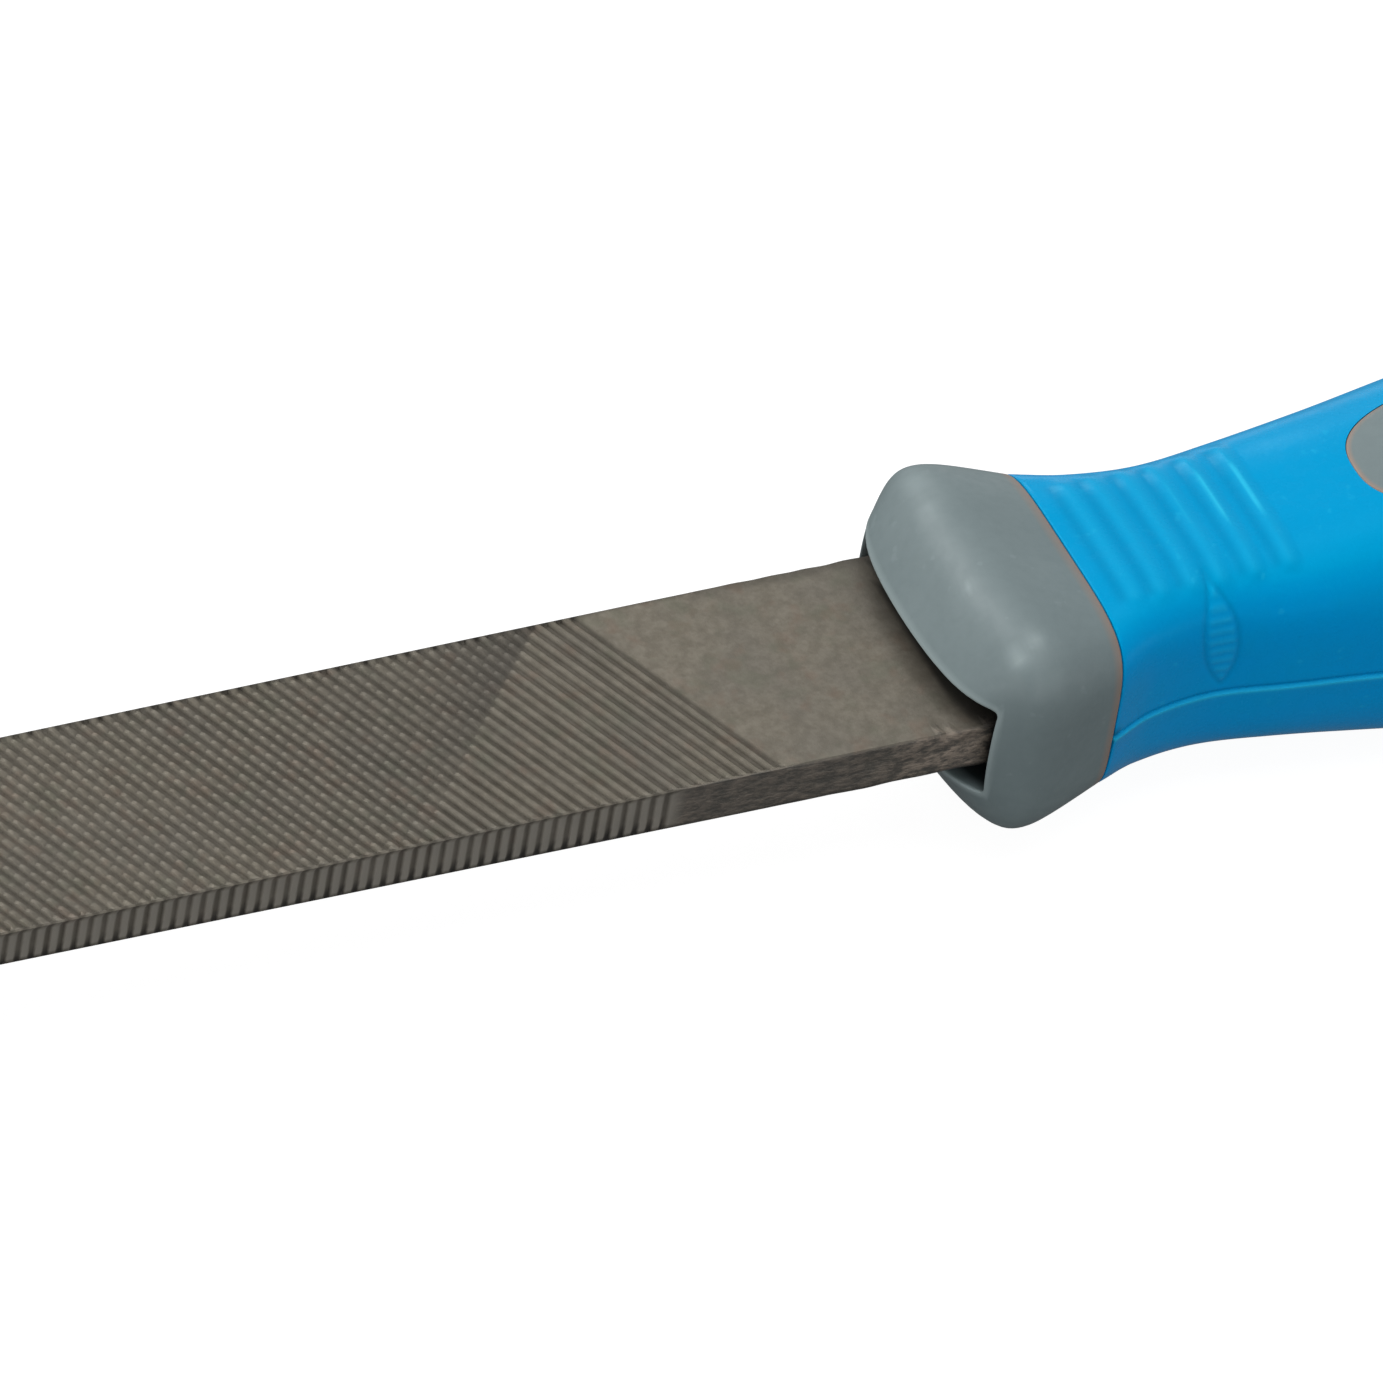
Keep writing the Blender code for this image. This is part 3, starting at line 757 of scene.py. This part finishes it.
def vertex_places(mesh):
    """Every vertex's place, from the slot corners."""
    places = np.zeros(len(mesh.vertices) * 3)
    mesh.vertices.foreach_get("co", places)
    return places.reshape(-1, 3) - ORIGIN


def store(mesh, name, values):
    mesh.attributes.new(name, "FLOAT", "POINT").data.foreach_set("value", values.astype(np.float32))


# ---- collar
SLOT_WIDTH, SLOT_HEIGHT, SLOT_DEPTH = 23.0 * MM, 8.1 * MM, 7.4 * MM
SLOT_CORNER = 0.5 * MM
NOSE_SWEEP, NOSE_CORNER_SWEEP = 1.2 * MM, 1.5 * MM
LIP_ADVANCE = 0.22 * MM  # makes up for the rounding of the lip
LIP_BOW = 0.28 * MM  # how far the lip's short sides stand forward of its corners
GIRTH_WIDTH, GIRTH_HEIGHT = 28.8 * MM, 21.0 * MM
GIRTH_STATION, GIRTH_SWEEP = 2.6 * MM, 1.2 * MM
GIRTH_SQUARENESS = 4.1
REAR_ROUNDING, FRONT_ROUNDING = 0.45, 0.35
FRONT_BULGE = 0.08 * MM
# Painted highlights on the collar's front: place along, across and up from the slot, reach (all in mm),
# strength.
PAINTED_GLINTS = (
    (1.4, -10.3, 8.2, 0.75, 1.0),
    (3.1, -9.6, 9.1, 0.75, 0.6),
    (3.7, -12.5, 7.3, 0.90, 0.3),
    (0.8, -2.7, 8.9, 0.35, 0.6),
    (1.9, 9.4, 8.9, 1.10, 0.4),
    (1.4, 6.0, 9.1, 0.70, 0.3),
)
LIP_RADIUS = 0.42 * MM
REAR_EDGE = 0.195 * MM
REAR_RECESS = 1.8 * MM


def swept(loop, x, sweep=0.0, corner_sweep=0.0):
    """A loop across the file as points, with its middle swept forward of its sides."""
    across = np.clip(abs(loop[:, 0]) / abs(loop[:, 0]).max(), 0.0, 1.0)
    forward = sweep * (1 - across**2) + corner_sweep * (1 - across**6)
    return np.column_stack((x - forward, loop[:, 0], loop[:, 1]))


def quadratic(first, corner, last, share):
    return (1 - share) ** 2 * first + 2 * share * (1 - share) * corner + share * share * last


def soften(rows, fixed, rounds):
    """Evens out the bends between rows, except in the first few and the last one."""
    rows = [np.array(row) for row in rows]
    for _ in range(rounds):
        means = [(before + 2 * row + after) / 4 for before, row, after in zip(rows, rows[1:], rows[2:])]
        rows[fixed:-1] = means[fixed - 1 :]
    return rows


def slot_loop(inset=0.0):
    half_width, half_height = SLOT_WIDTH / 2 - inset, SLOT_HEIGHT / 2 - inset
    return sided_loop(rounded_quadrant(half_width, half_height, SLOT_CORNER), SIDE_SHARES)


def build_collar(material):
    rear = swept(sided_loop(squared_quadrant(*grip_section(0.0)), SIDE_SHARES), COLLAR_LENGTH)
    girth = squared_quadrant(GIRTH_WIDTH / 2, GIRTH_HEIGHT / 2, GIRTH_SQUARENESS)
    ridge = swept(sided_loop(girth, SIDE_SHARES), GIRTH_STATION, GIRTH_SWEEP)
    lip = swept(slot_loop(), -LIP_ADVANCE, NOSE_SWEEP, NOSE_CORNER_SWEEP)
    lip[:, 0] -= LIP_BOW * (1 - np.clip(abs(lip[:, 2]) / (SLOT_HEIGHT / 2), 0, 1) ** 2)
    start, end = blend(ridge, rear, REAR_ROUNDING), blend(ridge, lip, FRONT_ROUNDING)
    recess = squared_quadrant(8.3 * MM, 5.8 * MM, GIRTH_SQUARENESS)
    inner_rear = swept(sided_loop(recess, SIDE_SHARES), COLLAR_LENGTH)
    rear_edge = blend(rear, ridge, REAR_EDGE / COLLAR_LENGTH)
    rear_face = blend(rear, inner_rear, 0.05)
    rows = [quadratic(rear_face, rear, rear_edge, share) for share in np.linspace(0, 1, 4)]
    rows += [blend(rear_edge, start, share) for share in np.linspace(0, 1, 6)[1:-1]]
    rows += [quadratic(start, ridge, end, share) for share in np.linspace(0, 1, 15)]
    slope = np.linalg.norm(ridge - lip, axis=1)[:, None]
    lip_out = lip + (ridge - lip) / slope * LIP_RADIUS
    lip_in = lip + np.array((LIP_RADIUS * 1.2, 0, 0))
    for share in np.linspace(0, 1, 9)[1:-1]:
        rows.append(blend(end, lip_out, share) - (FRONT_BULGE * 4 * share * (1 - share), 0, 0))
    rows = soften(rows, 4, 14)
    rows += [quadratic(lip_out, lip, lip_in, share) for share in np.linspace(0, 1, 6)]
    floor = swept(slot_loop(), SLOT_DEPTH)
    floor_in = swept(slot_loop(0.4 * MM), SLOT_DEPTH + 0.0001 * MM)
    rows += [blend(lip_in, floor, share) for share in np.linspace(0, 1, 8)[1:]]
    rows.append(floor_in)
    opening = sided_loop(rounded_quadrant(6.4 * MM, 2.7 * MM, 0.3 * MM), SIDE_SHARES)
    rows += [swept(opening, SLOT_DEPTH), swept(opening, COLLAR_LENGTH - REAR_RECESS)]
    rows += [inner_rear - (REAR_RECESS, 0, 0), inner_rear]
    builder = bmesh.new()
    close_ring(builder, add_grid(builder, rows))
    piece = finish_piece("collar_shell", builder, material, "handle", "front_collar", 40.0)
    places = vertex_places(piece.data)
    x, y, z = places.T
    in_slot = (abs(y) < SLOT_WIDTH / 2 + 0.01 * MM) & (abs(z) < SLOT_HEIGHT / 2 + 0.01 * MM)
    # Painted shade inside the slot, from just behind the lip, and further in on its short sides.
    behind_lip = x - lip_place(y)
    shaded_from = np.where(abs(y) > SLOT_WIDTH / 2 - 0.3 * MM, 1.6 * MM, 0.3 * MM)
    store(piece.data, "pocket_shade", np.where(in_slot, smooth((behind_lip - shaded_from) / (1.0 * MM)), 0.0))
    # A painted highlight along the lip's rounded rim, and painted glints on the front.
    rim = np.hypot(np.maximum(abs(y) - SLOT_WIDTH / 2, 0), np.maximum(abs(z) - SLOT_HEIGHT / 2, 0))
    rim_highlight = 1 - smooth((rim - 0.25 * MM) / (0.35 * MM))
    rim_highlight = rim_highlight * (1 - smooth((behind_lip - 0.2 * MM) / (0.3 * MM)))
    painted_highlight = np.where(x < 3 * MM, 0.8 * rim_highlight, 0.0)
    for *place, reach, strength in PAINTED_GLINTS:
        away = np.linalg.norm(places - np.array(place) * MM, axis=1)
        painted_highlight = np.maximum(painted_highlight, strength * peak(away, reach * MM))
    store(piece.data, "painted_highlight", painted_highlight)
    store(piece.data, "rear_line", smooth((x - COLLAR_LENGTH + 0.26 * MM) / (0.14 * MM)) * ~in_slot)
    return piece


# ---- grip
# Ribs: place behind the collar, height, roundness of the crest, strength of the painted glint along the
# crest.
RIBS = (
    (2.7 * MM, 0.13 * MM, 0.030, 0.0),
    (5.0 * MM, 0.15 * MM, 0.030, 0.12),
    (7.6 * MM, 0.15 * MM, 0.025, 0.12),
    (10.0 * MM, 0.16 * MM, 0.020, 0.22),
    (12.8 * MM, 0.20 * MM, 0.006, 0.62),
    (15.7 * MM, 0.20 * MM, 0.006, 0.72),
)
RIB_REACH = 1.15 * MM
PARTING_LEVEL = -1.0 * MM
SLEEVE_START = 0.06 * MM
NECK_END = 18.5 * MM  # the sleeve's rows are close together up to here
UPPER_POINTS, LOWER_POINTS = 120, 60  # round the sleeve, above and below the parting line
SLEEVE_WALL = 2.4 * MM
OVAL_STATION = 41.0 * MM
OVAL_LENGTH, OVAL_WIDTH = 34.0 * MM, 14.0 * MM
OVAL_SQUARENESS = 2.6
OVAL_GAP = 0.03 * MM

# A plain lens with bars, moulded in the near side of the neck.
STAMP_PLACE = 9.55 * MM
STAMP_HEIGHT = 4.2 * MM
STAMP_REACH = 4.4 * MM
STAMP_HALF_WIDTH = 1.45 * MM
STAMP_LEAN = 0.13
STAMP_BAR_PITCH = 0.92 * MM
STAMP_DEPTH = 0.08 * MM


def outline(half_width, half_height, squareness):
    """A dense closed loop of a superellipse, anticlockwise from +Y."""
    quadrant = squared_quadrant(half_width, half_height, squareness)
    half = np.concatenate((quadrant, (quadrant * (-1, 1))[::-1][1:]))
    return np.concatenate((half, -half[1:-1]))


END_STEPS = (0.0, 0.07 * MM, 0.15 * MM, 0.25 * MM, 0.38 * MM, 0.6 * MM, 0.95 * MM)


def arc_points(path, count):
    """Points along a path, closer together near its ends, and their distances from the nearer end."""
    length = np.linalg.norm(np.diff(path, axis=0), axis=1).sum()
    ends = np.array(END_STEPS) / length
    middle = np.linspace(ends[-1], 1 - ends[-1], count)[1:-1]
    shares = np.concatenate((ends, middle, 1 - ends[::-1]))
    return resample(path, shares), np.minimum(shares, 1 - shares) * length


def parted_loop(half_width, half_height, squareness):
    """A loop split at the parting line on both sides: points, outward normals, distances above the line."""
    loop = outline(half_width, half_height, squareness)
    start = next(i for i in range(len(loop)) if loop[i - 1, 1] < PARTING_LEVEL <= loop[i, 1])
    loop = np.roll(loop, -start, axis=0)
    finish = next(i for i in range(1, len(loop)) if loop[i, 1] < PARTING_LEVEL)
    first, last = [((loop[i, 0] + loop[i - 1, 0]) / 2, PARTING_LEVEL) for i in (0, finish)]
    top, above = arc_points(np.concatenate(([first], loop[:finish], [last])), UPPER_POINTS)
    bottom, below = arc_points(np.concatenate(([last], loop[finish:], [first])), LOWER_POINTS)
    points = np.concatenate((top[:-1], bottom[:-1]))
    level = np.concatenate((above[:-1], -below[:-1]))
    along = np.roll(points, -1, axis=0) - np.roll(points, 1, axis=0)
    normals = np.stack((along[:, 1], -along[:, 0]), axis=1)
    return points, normals / np.linalg.norm(normals, axis=1)[:, None], level


def rib_relief(distance, points):
    """Height of the ribs across the top and the underside of the neck."""
    height = 0.0
    for crest, rise, roundness, _ in RIBS:
        away = abs(distance - crest) / RIB_REACH
        if away < 1:
            height += rise * (1 - math.sqrt(away * away + roundness)) * (1 - away**6)
    return max(height, 0.0) * (1 - smooth((abs(points[:, 0]) - 6.4 * MM) / (1.2 * MM)))


def parting_relief(level):
    """A fine groove with a low ridge under it, along both sides."""
    fade = np.exp(np.minimum(level, 0) / (1.6 * MM))
    ridge = np.where(level < 0, smooth(-level / (0.16 * MM)) * fade, 0.0)
    return 0.24 * MM * ridge - 0.10 * MM * peak(level - 0.06 * MM, 0.15 * MM)


def stamp_lines(distance, y, z):
    """How much of the stamp's outline, and of its bars, lies at a point of the neck."""
    along = (z - STAMP_HEIGHT) / STAMP_REACH
    half_width = STAMP_HALF_WIDTH * (1 - abs(along) ** 2.4)
    across = abs(distance - STAMP_PLACE + STAMP_LEAN * (z - STAMP_HEIGHT))
    there = (abs(along) < 1) & (y < 0)
    rim = peak(across - half_width, 0.20 * MM)
    bars = 0.5 + 0.5 * np.cos(2 * math.pi * (z - STAMP_HEIGHT) / STAMP_BAR_PITCH)
    return there * rim, there * bars * smooth((half_width - 0.2 * MM - across) / (0.3 * MM))


def mark_sleeve(piece):
    """Stores the sleeve's painted highlights, the painted shade in its grooves and the painted side shading
    of its flanks.
    """
    x, y, z = vertex_places(piece.data).T
    distance = x - COLLAR_LENGTH
    painted_highlight, groove_shade = np.zeros(len(x)), np.zeros(len(x))
    over_top = 1 - smooth((abs(y) - 6.2 * MM) / (1.0 * MM))
    # Painted glints along the rib crests and a broad painted sheen over each rib; painted shade in front of
    # each crest.
    for crest, _, _, crest_glint in RIBS:
        line = peak(distance - crest, 0.20 * MM)
        streak = smooth((y + 2.6 * MM) / (2.6 * MM)) * (1 - smooth((y - 3.2 * MM) / (2.0 * MM)))
        painted_highlight = np.maximum(painted_highlight, line * crest_glint * (0.15 + 0.85 * streak) * over_top)
        painted_highlight = np.maximum(painted_highlight, 0.10 * peak(distance - crest, 0.60 * MM) * over_top)
        shade = peak(distance - crest + 0.95 * MM, 0.50 * MM)
        groove_shade = np.maximum(groove_shade, 0.36 * shade * over_top)
    # A painted highlight just under the parting line; painted shade just above it and in the notch by the
    # collar.
    above = z - PARTING_LEVEL
    on_side = abs(y) > 6 * MM
    painted_highlight = np.maximum(painted_highlight, 0.50 * peak(above + 0.20 * MM, 0.14 * MM) * on_side)
    groove_shade = np.maximum(groove_shade, 0.45 * peak(above - 0.14 * MM, 0.18 * MM) * on_side)
    notch = peak(above - 0.30 * MM, 0.50 * MM) * (1 - smooth((distance - 0.3 * MM) / (0.9 * MM)))
    groove_shade = np.maximum(groove_shade, notch * on_side)
    # Painted shade along the stamp's outline and a painted highlight on its bars.
    line, bars = stamp_lines(distance, y, z)
    groove_shade = np.maximum(groove_shade, 0.32 * line)
    painted_highlight = np.maximum(painted_highlight, 0.17 * bars)
    half_width = np.array([grip_section(max(place, 0.0))[0] for place in distance])
    store(piece.data, "painted_highlight", painted_highlight)
    store(piece.data, "groove_shade", groove_shade)
    # The flanks' painted side shading.
    store(piece.data, "painted_flank", smooth((abs(y) / half_width - 0.72) / 0.26))


def sleeve_row(distance, inset=0.0, relief=1.0):
    """A loop of the sleeve. With relief at 0, as on the inner wall, it has no ribs, parting line or stamp."""
    points, normals, level = parted_loop(*grip_section(max(distance, 0.0)))
    line, bars = stamp_lines(distance, *points.T)
    raised = rib_relief(distance, points) + parting_relief(level) + STAMP_DEPTH * (bars - line)
    points = points + normals * (raised * relief - inset)[:, None]
    return np.column_stack((np.full(len(points), COLLAR_LENGTH + distance), points))


def oval_outline(length, width, count):
    turn = np.linspace(0, 2 * math.pi, count, endpoint=False)
    bend = lambda v: np.sign(v) * abs(v) ** (2 / OVAL_SQUARENESS)
    x = COLLAR_LENGTH + OVAL_STATION + bend(np.cos(turn)) * length / 2
    return x, bend(np.sin(turn)) * width / 2


def surface_height(x, y):
    """Height of the grip's surface over a point, from the axis."""
    half_width, half_height, squareness = grip_section(x - COLLAR_LENGTH)
    return half_height * (1 - min(abs(y) / half_width, 0.999) ** squareness) ** (1 / squareness)


def build_sleeve(material):
    rows = [sleeve_row(SLEEVE_START, 0.16 * MM), sleeve_row(SLEEVE_START + 0.04 * MM, 0.05 * MM)]
    neck = np.arange(SLEEVE_START + 0.16 * MM, NECK_END, 0.20 * MM)
    body = np.linspace(NECK_END + 0.2 * MM, SLEEVE_END - 0.2 * MM, 92)
    rows += [sleeve_row(distance) for distance in np.concatenate((neck, body))]
    rows += [sleeve_row(SLEEVE_END - 0.05 * MM, 0.05 * MM), sleeve_row(SLEEVE_END, 0.16 * MM)]
    inner = np.linspace(SLEEVE_END, SLEEVE_START, 30)
    rows += [sleeve_row(distance, SLEEVE_WALL - 0.3 * MM, 0.0) for distance in inner]
    builder = bmesh.new()
    close_ring(builder, add_grid(builder, rows))
    piece = finish_piece(
        "grip_sleeve_soft", builder, material, "handle", "grip_sleeve", 40.0
    )
    x, y = oval_outline(OVAL_LENGTH + 2 * OVAL_GAP, OVAL_WIDTH + 2 * OVAL_GAP, 120)
    for facing in (1, -1):
        heights = (facing * 2 * MM, facing * 20 * MM)
        window = [np.column_stack((x, y, np.full(len(x), height))) for height in heights]
        apply_boolean(piece, make_cutter("window", window))
    mark_sleeve(piece)
    return piece


def build_inlay(name, facing, node, material):
    """A flush oval with a softly rounded edge."""
    rim_x, rim_y = oval_outline(OVAL_LENGTH, OVAL_WIDTH, 144)
    centre_x = COLLAR_LENGTH + OVAL_STATION
    rows = []
    edge = 0.14 * MM
    steps = [(0.0, 2.2 * MM), (0.0, 0.9 * MM), (0.0, edge)]
    steps += [(edge * (1 - math.cos(a)), edge * (1 - math.sin(a))) for a in (0.5, 1.0, 1.57)]
    shrinks = [0.5 * MM, 1.2 * MM, 2.2 * MM, 3.4 * MM, 4.6 * MM, 5.6 * MM, 6.4 * MM, 6.8 * MM]
    steps += [(shrink, 0.0) for shrink in shrinks]
    for shrink, drop in steps:
        scale_x = 1 - shrink / (OVAL_LENGTH / 2)
        scale_y = 1 - shrink / (OVAL_WIDTH / 2)
        xs, ys = centre_x + (rim_x - centre_x) * scale_x, rim_y * scale_y
        rows.append([(x, y, facing * (surface_height(x, y) - drop)) for x, y in zip(xs, ys)])
    builder = bmesh.new()
    add_cap_ends(builder, add_grid(builder, rows))
    piece = finish_piece(name, builder, material, "handle", node, 50.0)
    x, y, _ = vertex_places(piece.data).T
    along, across = abs(x - centre_x) / (OVAL_LENGTH / 2), abs(y) / (OVAL_WIDTH / 2)
    reach = (along**OVAL_SQUARENESS + across**OVAL_SQUARENESS) ** (1 / OVAL_SQUARENESS)
    store(piece.data, "rear_line", 0.9 * smooth((reach - 1 + 0.020) / 0.012))
    return piece


# ---- end cap
CAP_GAP = 0.14 * MM  # between the sleeve and the cap
BUTT_ROUNDING = 5.0 * MM
HOLE_RADIUS = 4.0 * MM
HOLE_FROM_BUTT = 8.5 * MM
# The hole's mouth: how much wider than the hole it is, and how high above the axis.
HOLE_FLARE = ((2.4 * MM, 12.2 * MM), (0.9 * MM, 10.3 * MM), (0.25 * MM, 9.5 * MM), (0.0, 8.6 * MM))


def cap_row(distance, inset=0.0, section_at=None):
    """A loop of the cap, with the grip's section there or at another distance."""
    half_width, half_height, squareness = grip_section(distance if section_at is None else section_at)
    quadrant = squared_quadrant(half_width - inset, half_height - inset, squareness)
    return swept(sided_loop(quadrant, np.linspace(0, 1, 33)), COLLAR_LENGTH + distance)


def build_cap(material):
    start = SLEEVE_END + CAP_GAP
    base = BUTT_X - REAR_X - BUTT_ROUNDING
    rows = [cap_row(start, 3.0 * MM), cap_row(start, 0.15 * MM), cap_row(start + 0.05 * MM, 0.05 * MM)]
    rows += [cap_row(distance) for distance in np.linspace(start + 0.2 * MM, base, 12)]
    for angle in np.linspace(0, math.pi / 2, 12)[1:]:
        inset = BUTT_ROUNDING * (1 - math.cos(angle))
        rows.append(cap_row(base + BUTT_ROUNDING * math.sin(angle), inset, base))
    builder = bmesh.new()
    add_cap_ends(builder, add_grid(builder, rows))
    piece = finish_piece("end_cap_butt", builder, material, "handle", "end_cap", 40.0)
    profile = [(HOLE_RADIUS + flare, height) for flare, height in HOLE_FLARE]
    profile += [(radius, -height) for radius, height in reversed(profile)]
    turn = np.linspace(0, 2 * math.pi, 96, endpoint=False)
    centre = BUTT_X - SLOT_X - HOLE_FROM_BUTT
    rows = []
    for radius, height in profile:
        x, y = centre + radius * np.cos(turn), radius * np.sin(turn)
        rows.append(np.column_stack((x, y, np.full(len(turn), height))))
    apply_boolean(piece, make_cutter("hang_hole", rows))
    return piece


# ---- studio
def make_studio():
    builder = bmesh.new()
    bmesh.ops.create_circle(builder, cap_ends=True, radius=6.0, segments=64)
    floor = make_object("floor", builder)
    floor.location.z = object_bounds()[0].z - 0.02 * MM
    floor.visible_diffuse = False
    floor.visible_glossy = False
    glow = {"Emission_Color": (1, 1, 1, 1), "Emission_Strength": 0.93, "Specular_IOR_Level": 0.0}
    floor.data.materials.append(Graph("pale_floor").finish((0.20, 0.20, 0.20, 1.0), 0.9, **glow))

    world = bpy.data.worlds.new("studio")
    bpy.context.scene.world = world
    world.use_nodes = True
    nodes, links = world.node_tree.nodes, world.node_tree.links
    direction = nodes.new("ShaderNodeTexCoord").outputs["Generated"]
    split = nodes.new("ShaderNodeSeparateXYZ")
    links.new(direction, split.inputs[0])
    lift = nodes.new("ShaderNodeMapRange")
    lift.inputs["From Min"].default_value = -1.0
    links.new(split.outputs["Z"], lift.inputs[0])
    ramp = nodes.new("ShaderNodeValToRGB")
    links.new(lift.outputs[0], ramp.inputs[0])
    steps = ramp.color_ramp.elements
    for share, grey in ((0.40, 0.16), (0.485, 1.0), (0.53, 1.0), (0.58, WORLD_TOP)):
        step = steps.new(share)
        step.color = (grey, grey, grey * 1.02, 1)
    steps.remove(steps[0])
    steps.remove(steps[-1])
    links.new(ramp.outputs[0], nodes["Background"].inputs["Color"])
    nodes["Background"].inputs["Strength"].default_value = 1.0
    for name, place, size, power in SOFTBOXES:
        lamp = bpy.data.lights.new(name, "AREA")
        lamp.shape = "RECTANGLE"
        lamp.size, lamp.size_y = size
        lamp.energy = power
        item = bpy.data.objects.new(name, lamp)
        item.location = place
        item.rotation_mode = "QUATERNION"
        item.rotation_quaternion = (Vector(place) - Vector(ORIGIN)).to_track_quat("Z", "Y")
        item.visible_camera = False
        bpy.context.scene.collection.objects.link(item)
    bpy.context.scene.view_settings.view_transform = "Standard"


WORLD_TOP = 0.42
SOFTBOXES = (
    ("key", (-0.55, 0.75, 0.85), (1.0, 0.8), 9.2),
    ("rib_glint", (0.22, 0.90, 0.60), (0.20, 0.20), 0.7),
    ("overhead", (0.10, 0.0, 1.10), (1.1, 1.0), 5.5),
    ("tip_side", (-1.20, -0.20, 0.30), (0.5, 0.3), 1.6),
    ("front_fill", (-0.30, -1.20, 0.70), (0.8, 0.6), 3.9),
)


# Each plastic: its base, lighter, darker, painted highlight, painted flank shading and painted groove shade
# colours.
GREY = (
    (0.142, 0.184, 0.189), (0.172, 0.218, 0.222), (0.114, 0.152, 0.160), (0.245, 0.300, 0.302),
    (0.132, 0.172, 0.176), (0.060, 0.080, 0.084),
)
BLUE = (
    (0.000, 0.272, 0.540), (0.000, 0.298, 0.575), (0.000, 0.240, 0.490), (0.035, 0.540, 0.760),
    (0.000, 0.272, 0.635), (0.000, 0.140, 0.310),
)
CORE_GREY = (
    (0.075, 0.090, 0.098), (0.100, 0.116, 0.124), (0.060, 0.072, 0.080), (0.110, 0.126, 0.134),
    (0.075, 0.090, 0.098), (0.050, 0.060, 0.066),
)


def main():
    make_camera()
    steel = steel_material()
    grey = plastic_material("grey_plastic_soft", GREY, 0.46, 0.35, None, 0.42)
    blue = plastic_material("blue_plastic_soft", BLUE, 0.26, 0.25, (0.0, 0.80, 0.90), 0.20)
    hidden = plastic_material("core_plastic_hard", CORE_GREY, 0.50)
    build_blade(steel)
    build_collar(grey)
    build_sleeve(blue)
    build_inlay("upper_inlay_oval", 1, "upper_oval_inlay", grey)
    build_inlay("lower_inlay_oval", -1, "lower_oval_inlay", grey)
    build_cap(grey)
    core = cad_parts["handle_core"]
    for slot in core.material_slots:
        slot.material = hidden
    make_studio()


main()
